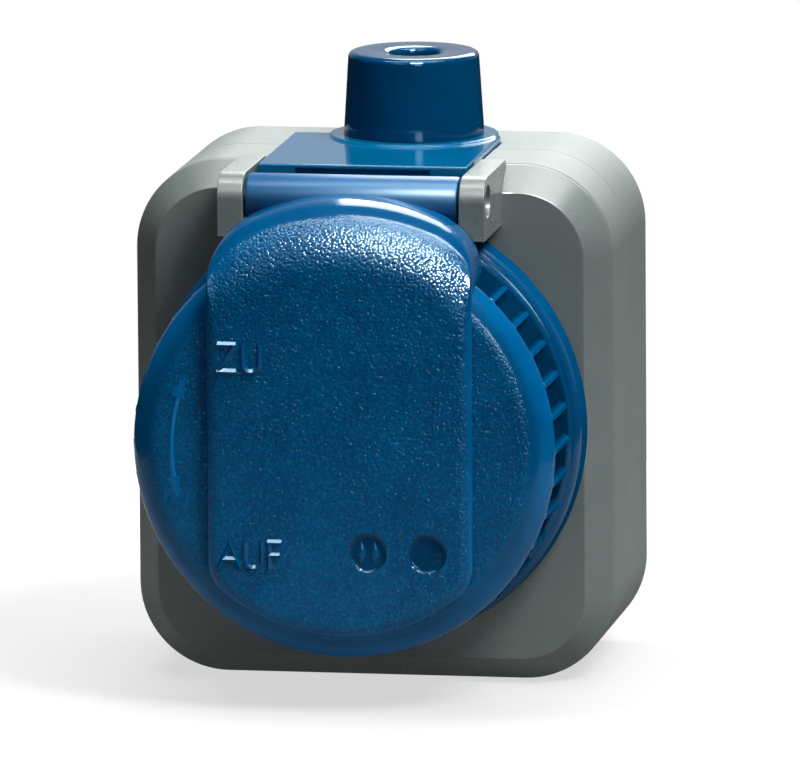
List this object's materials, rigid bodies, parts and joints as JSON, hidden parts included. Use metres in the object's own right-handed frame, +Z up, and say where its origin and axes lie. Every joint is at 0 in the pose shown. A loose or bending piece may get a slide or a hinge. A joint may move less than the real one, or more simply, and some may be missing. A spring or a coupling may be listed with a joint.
{
  "type": "weatherproof socket outlet",
  "caption": "Surface-mounted weatherproof socket outlet: rounded grey housing, blue hinged lid with a turning bayonet ring, and a cable gland on top.",
  "frame": {"origin": "where the socket's axis meets the wall, on the flat back of the housing", "axes": "+Y into the wall, so the lid faces -Y; +Z up, towards the hinge and the gland; +X to the right as seen from the front"},
  "size_m": [0.075, 0.067, 0.0954],
  "materials": {
    "grey_plastic": "satin moulded",
    "blue_gloss": "polished moulded",
    "blue_grain": "fine grained with satin edges",
    "ivory_plastic": "satin",
    "brown_plastic": "satin",
    "black_rubber": "matt",
    "brass": "rolled",
    "steel": "zinc plated"
  },
  "bodies": {
    "housing": {"wall_box": "grey_plastic", "front_cover": "grey_plastic", "box_gasket": "black_rubber", "cable_entry_plate": "blue_gloss", "gland_cap": "blue_gloss", "gland_seal": "black_rubber", "hinge_pin": "steel", "socket_insert": "ivory_plastic", "contact_carrier": "brown_plastic", "earth_bracket": "brass", "live_contact": "brass", "neutral_contact": "brass", "terminal_clamps": "steel", "terminal_screws": "steel", "carrier_screws": "steel", "insert_screw": "steel", "cover_screws": "steel"},
    "lid": {"lid_strap": "blue_grain", "seal_plate": "ivory_plastic", "lid_seal": "black_rubber", "pivot_screw": "steel"},
    "ring": {"locking_ring": "blue_grain"}
  },
  "joints": [
    {"name": "lid_hinge", "type": "hinge", "parent": "housing", "child": "lid", "pos_m": [0, -0.0509, 0.037], "axis": [-1, 0, 0], "range_deg": [0, 110]},
    {"name": "ring_turn", "type": "hinge", "parent": "lid", "child": "ring", "pos_m": [0, -0.0635, 0], "axis": [0, 1, 0], "range_deg": [0, 40]}
  ]
}
